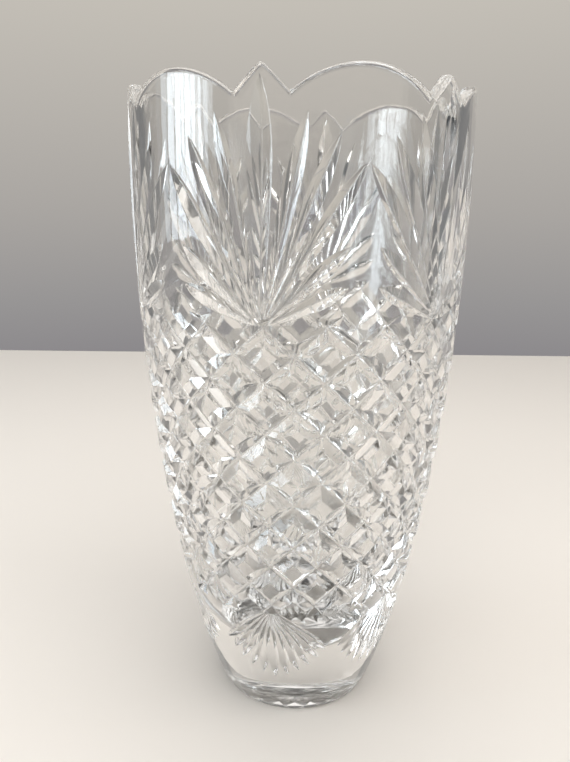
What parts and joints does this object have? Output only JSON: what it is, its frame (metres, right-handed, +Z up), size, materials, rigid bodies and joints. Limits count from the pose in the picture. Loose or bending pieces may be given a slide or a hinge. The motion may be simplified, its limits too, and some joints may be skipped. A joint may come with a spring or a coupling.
{
  "type": "cut crystal vase",
  "caption": "Tall tapering flower vase in clear cut crystal, with a scalloped rim, cut fans, a band of flat-topped diamonds and a thick flat foot.",
  "frame": {"origin": "centre of the foot's underside, on the surface that the vase stands on", "axes": "+Z up along the vase's axis; the middle leaf of one fan faces -Y"},
  "size_m": [0.1324, 0.132, 0.25],
  "materials": {
    "crystal": "clear polished crystal glass, wheel cut"
  },
  "bodies": {
    "root": {"vase_body": "crystal"}
  },
  "joints": []
}
